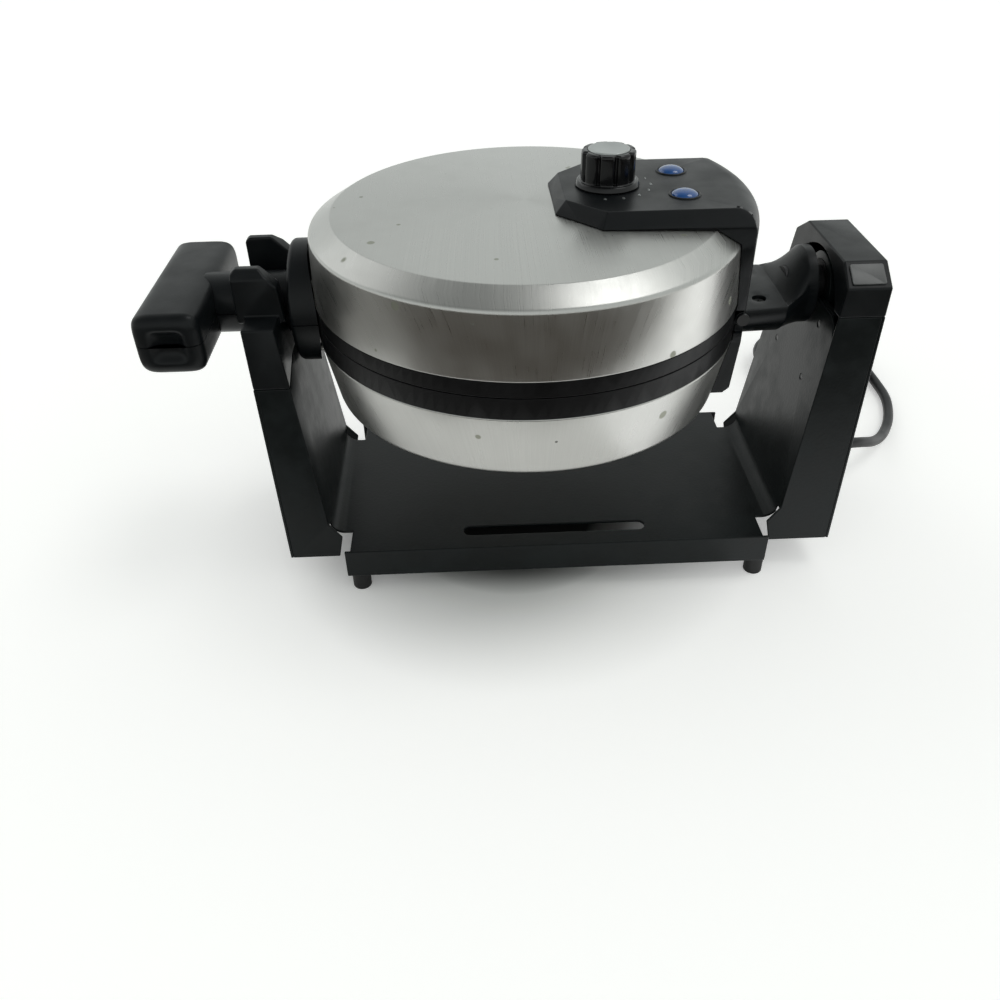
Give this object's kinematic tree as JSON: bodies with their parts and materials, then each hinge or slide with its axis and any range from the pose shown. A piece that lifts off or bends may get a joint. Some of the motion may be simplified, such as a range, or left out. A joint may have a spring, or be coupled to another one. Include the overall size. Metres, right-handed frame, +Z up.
{
  "type": "rotating waffle maker",
  "caption": "Round brushed-steel waffle maker that turns over in a folded black sheet-metal stand, with a T handle, hinged lid and dial.",
  "frame": {"origin": "on the table, under the middle of the appliance's width and depth without its cord", "axes": "+X along the flip axis from the grip to the pivot, +Y to the back, +Z up"},
  "size_m": [0.4511, 0.3075, 0.2143],
  "materials": {
    "brushed_steel": "circular and horizontal brushed stainless steel",
    "rim_black": "fine satin heat-resistant moulding",
    "cast_coated": "cast aluminium with a dark non-stick coat",
    "heater_steel": "dull heater tube",
    "reflector_aluminium": "plain rolled sheet",
    "zinc_steel": "zinc-plated steel",
    "black_screw": "blackened steel screw",
    "black_plastic": "fine-textured satin moulding",
    "grey_plastic": "satin grey moulding",
    "black_gloss": "glossy black moulding",
    "satin_grey": "satin disc",
    "ceramic_white": "unglazed steatite",
    "spring_brass": "bare spring brass",
    "lamp_blue": "clear blue lens",
    "lamp_glass": "small neon bulb",
    "pin_steel": "ground steel",
    "bush_plastic": "self-lubricating moulding",
    "stand_paint": "satin black powder coat",
    "foot_rubber": "soft black rubber",
    "cord_jacket": "smooth matt rubber jacket",
    "lead_sleeve": "woven glass sleeve",
    "tie_plastic": "soft strap",
    "plug_plastic": "moulded plug",
    "blade_brass": "plated brass"
  },
  "bodies": {
    "stand": {"bearing_screws": "black_screw", "left_cover_screws": "black_screw", "right_cover_screws": "black_screw", "left_cradle_cap": "black_plastic", "right_pivot_cap": "black_plastic", "cap_insert": "grey_plastic", "pivot_bush": "bush_plastic", "stand_frame": "stand_paint", "left_arm_cover": "stand_paint", "right_arm_cover": "stand_paint", "bearing_block": "stand_paint", "rubber_feet": "foot_rubber", "strain_relief": "cord_jacket", "power_cord": "cord_jacket", "cord_coil": "cord_jacket", "plug_lead": "cord_jacket", "inner_lead": "lead_sleeve", "cord_tie": "tie_plastic", "mains_plug": "plug_plastic", "plug_blades": "blade_brass"},
    "lower_half": {"lower_shell": "brushed_steel", "lower_rim": "rim_black", "lower_waffle_plate": "cast_coated", "lower_heater": "heater_steel", "lower_reflector": "reflector_aluminium", "lower_plate_screws": "zinc_steel", "lower_reflector_screws": "zinc_steel", "lower_handle": "black_plastic", "lower_handle_screws": "zinc_steel", "lower_hinge_cover": "black_plastic", "pivot_strap": "zinc_steel", "strap_screws": "zinc_steel", "gooseneck": "black_plastic", "gooseneck_screws": "black_screw", "pivot_shaft": "pin_steel", "shaft_retainer": "zinc_steel", "body_lead": "lead_sleeve"},
    "hinge_link": {"hinge_pin": "black_screw"},
    "lid": {"lid_shell": "brushed_steel", "upper_rim": "rim_black", "upper_waffle_plate": "cast_coated", "upper_heater": "heater_steel", "upper_reflector": "reflector_aluminium", "upper_plate_screws": "zinc_steel", "upper_reflector_screws": "zinc_steel", "upper_handle": "black_plastic", "upper_handle_screws": "zinc_steel", "control_panel": "black_plastic", "thermostat_body": "ceramic_white", "thermostat_nut": "zinc_steel", "contact_rivet": "spring_brass", "lamp_lenses": "lamp_blue", "lamp_bulbs": "lamp_glass", "panel_screws": "zinc_steel"},
    "knob": {"thermostat_knob": "black_gloss", "knob_disc": "satin_grey", "thermostat_spindle": "zinc_steel"},
    "contact": {"contact_arm": "spring_brass"}
  },
  "joints": [
    {"name": "body_flip", "type": "hinge", "parent": "stand", "child": "lower_half", "pos_m": [0.16032, 0, 0.144], "axis": [1, 0, 0], "range_deg": [-180, 0]},
    {"name": "hinge_float", "type": "slide", "parent": "lower_half", "child": "hinge_link", "axis": [0, 0, 1], "range_m": [0, 0.0035]},
    {"name": "lid_open", "type": "hinge", "parent": "hinge_link", "child": "lid", "pos_m": [0.10882, 0, 0.1435], "axis": [0, 1, 0], "range_deg": [0, 60]},
    {"name": "thermostat_turn", "type": "hinge", "parent": "lid", "child": "knob", "pos_m": [0.04582, 0, 0.1972], "axis": [0, 0, 1], "range_deg": [-300, 0]},
    {"name": "contact_lift", "type": "hinge", "parent": "lid", "child": "contact", "pos_m": [0.03382, -0.0075, 0.1748], "axis": [0, -1, 0], "range_deg": [0, 4], "stiffness_Nm_per_rad": 0.01, "springref_deg": -5.73}
  ]
}
